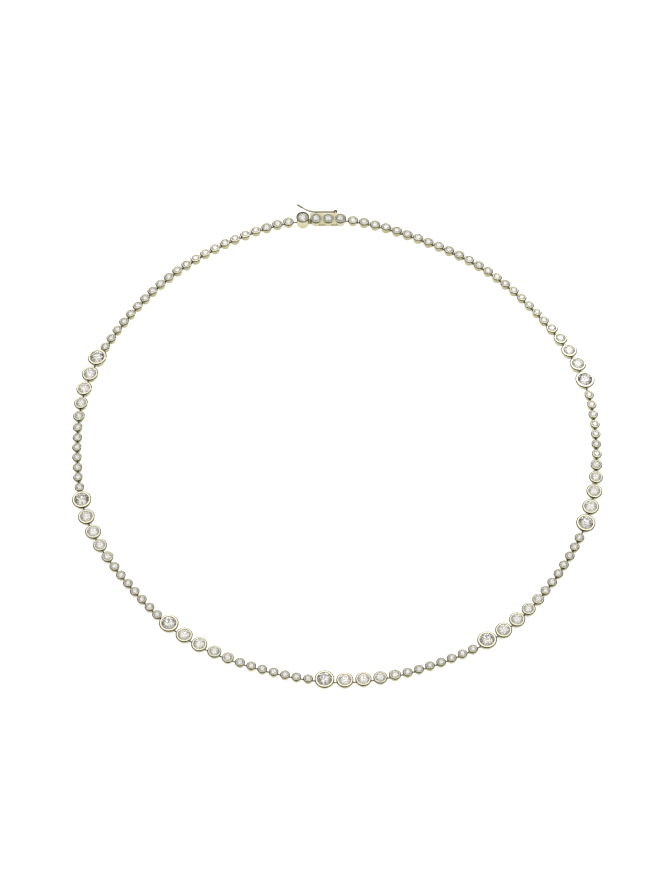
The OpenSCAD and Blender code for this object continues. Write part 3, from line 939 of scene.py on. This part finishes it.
def make_bar():
    place = CLASP_PLACE @ Matrix.Translation((HINGE_X, BAR_NEAR + BAR_T / 2, BAR_Z))
    shape = Shape()
    path = bar_path()
    sweep(shape, path, rounded(BAR_T, BAR_H, BAR_EDGE), place)
    (x, y), side = path[-1]
    reach = TIP_ARM + TIP_ARM_PAST
    end = (x - reach * cos(radians(CURVE_A)), y + reach * sin(radians(CURVE_A)))
    sweep(shape, [((x, y), side), (end, side)], rounded(TIP_ARM_T, TIP_ARM_H, TIP_ARM_EDGE), place)
    tip = place @ Matrix.Translation((x, y, 0)) @ rotated(z=-CURVE_A)
    sweep(shape, tip_path(), rounded(TIP_WIRE, TIP_WIRE_T, TIP_WIRE_EDGE), tip @ rotated(x=90), True)
    bore, half, outer = HINGE_PIN_R + BAR_FIT, BAR_T / 2, BAR_EYE_R - BAR_EYE_EDGE
    lathe(shape, [(bore, -half), (outer, -half), (BAR_EYE_R, BAR_EYE_EDGE - half),
                  (BAR_EYE_R, half - BAR_EYE_EDGE), (outer, half), (bore, half)],
          place @ rotated(x=-90), BAR_EYE_SIDES, JOINT_AND_SHADE_SLOT)
    bar = shape.make("bar_metal", [CLASP_GOLD, DEEP_SHADE_GOLD])
    # Faces of the bar turned toward the box and not upward take the near-black gold: painted shade
    for face in bar.data.polygons:
        if face.normal.y < BAR_SHADE_Y and face.normal.z < BAR_SHADE_Z:
            face.material_index = JOINT_AND_SHADE_SLOT
    rides(bar, "bar", "safety_bar")


def make_pin():
    shape = Shape()
    foot_y = HINGE_FLOOR + HINGE_GAP
    span = BAR_NEAR + BAR_T + HINGE_GAP - foot_y
    rivet = [(0, 0), (HINGE_PIN_R, 0), (HINGE_PIN_R, span), (HEAD_R, span)]
    rivet += arc(HEAD_R - HEAD_EDGE, span + HEAD_H - HEAD_EDGE, HEAD_EDGE, 0, HEAD_TURN, HEAD_STEPS)
    rivet.append((0, span + HEAD_H))
    lathe(shape, rivet, CLASP_PLACE @ behind_box(HINGE_X, foot_y), HINGE_SIDES)
    rides(shape.make("pin_metal", [DEEP_SHADE_GOLD]), "necklace", "hinge_pin")


make_chain()
make_box()
make_tongue()
make_bar()
make_pin()


# Floor, in metres
FLOOR_HALF = 1.5


def make_floor():
    mesh = bpy.data.meshes.new("floor")
    corners = [(x * FLOOR_HALF, y * FLOOR_HALF, 0) for x, y in ((-1, -1), (1, -1), (1, 1), (-1, 1))]
    mesh.from_pydata(corners, [], [(0, 1, 2, 3)])
    floor = bpy.data.objects.new("floor", mesh)
    bpy.context.scene.collection.objects.link(floor)
    mat, nodes, links, shader = new_material("white_sheet")
    grain = noise(nodes, links, nodes.new("ShaderNodeTexCoord").outputs["Object"], SHEET_GRAIN)
    colour = ramp(nodes, links, grain, SHEET_COLOURS)
    links.new(colour, shader["Base Color"])
    links.new(colour, shader["Emission Color"])
    shader["Roughness"].default_value = SHEET_ROUGH
    shader["Specular IOR Level"].default_value = SHEET_SHINE
    shader["Emission Strength"].default_value = SHEET_GLOW
    mesh.materials.append(mat)


# Softboxes: (azimuth, elevation), degrees to where each is full and where it is gone, and radiance
SOFTBOXES = [
    ((180, 54), 20, 30, 1.5), ((-140, 42), 5, 12, 1.6), ((125, 45), 5, 12, 1.6),
]

# Room: least and most radiance, noise of its patches, and its dark round the camera and low down
ROOM = (0.03, 1.17)
ROOM_PATCHES = (5.5, 0.0)
ROOM_EDGES = (0.47, 0.53)
CAMERA_HOLE = (16, 23)
CAMERA_SHADE = 0.05
LOW_BAND = (26, 42)
LOW_SHADE = 0.04

# Camera: distance and clip range are in metres, the sensor and the aim's offset in millimetres
CAMERA_UP = 59.0
CAMERA_FAR = 2.0
CLIP = (0.1, 20)
PIXELS_PER_MM = 4.08
LONG_SIDE = 896
AIM_OFF = (-0.13, -0.02, 1.5)
SENSOR = 36.0


def toward(azimuth, elevation):
    """Direction from the part: azimuth 0 is the camera's side, 90 the right."""
    a, e = radians(azimuth), radians(elevation)
    return Vector((sin(a) * cos(e), -cos(a) * cos(e), sin(e)))


def glow(nodes, links, sky, at, inner, outer, low, high):
    """High within inner degrees of a direction, low outside outer, and eased between them."""
    dot = nodes.new("ShaderNodeVectorMath")
    dot.operation = "DOT_PRODUCT"
    dot.inputs[1].default_value = at
    links.new(sky, dot.inputs[0])
    return eased(nodes, links, dot.outputs["Value"], cos(radians(outer)), cos(radians(inner)), low, high)


def chain_of(nodes, links, operation, values):
    """Adds or multiplies all of the values, one after another."""
    out = values[0]
    for value in values[1:]:
        node = nodes.new("ShaderNodeMath")
        node.operation = operation
        links.new(out, node.inputs[0])
        links.new(value, node.inputs[1])
        out = node.outputs[0]
    return out


def make_light():
    """Softboxes in a patchy pale room, which is dark round the camera and near the horizon."""
    world = bpy.data.worlds.new("studio")
    bpy.context.scene.world = world
    world.use_nodes = True
    nodes, links = world.node_tree.nodes, world.node_tree.links
    sky = nodes.new("ShaderNodeTexCoord").outputs["Generated"]
    room = eased(nodes, links, noise(nodes, links, sky, ROOM_PATCHES), *ROOM_EDGES, *ROOM)
    boxes = [glow(nodes, links, sky, toward(*at), inner, outer, 0.0, value)
             for at, inner, outer, value in SOFTBOXES]
    lit = chain_of(nodes, links, "ADD", [room] + boxes)
    hole = glow(nodes, links, sky, toward(0, CAMERA_UP), *CAMERA_HOLE, 1.0, CAMERA_SHADE)
    up = nodes.new("ShaderNodeSeparateXYZ")
    links.new(sky, up.inputs[0])
    horizon = eased(nodes, links, up.outputs["Z"], *(sin(radians(a)) for a in LOW_BAND), LOW_SHADE)
    background = nodes["Background"].inputs
    links.new(chain_of(nodes, links, "MULTIPLY", [lit, hole, horizon]), background["Strength"])
    background["Color"].default_value = (1.0, 1.0, 1.0, 1)


def make_camera():
    cam = bpy.data.cameras.new("camera")
    cam.sensor_width = SENSOR
    cam.lens = PIXELS_PER_MM * CAMERA_FAR / MM * SENSOR / LONG_SIDE
    cam.clip_start, cam.clip_end = CLIP
    camera = bpy.data.objects.new("camera", cam)
    aim = Vector((AIM_OFF[0] - MIDDLE.x, AIM_OFF[1] - MIDDLE.y, AIM_OFF[2])) * MM
    back = toward(0, CAMERA_UP)
    camera.location = aim + back * CAMERA_FAR
    camera.rotation_euler = back.to_track_quat("Z", "Y").to_euler()
    bpy.context.scene.collection.objects.link(camera)
    bpy.context.scene.camera = camera


make_floor()
make_light()
make_camera()
bpy.context.scene.view_settings.view_transform = "Standard"
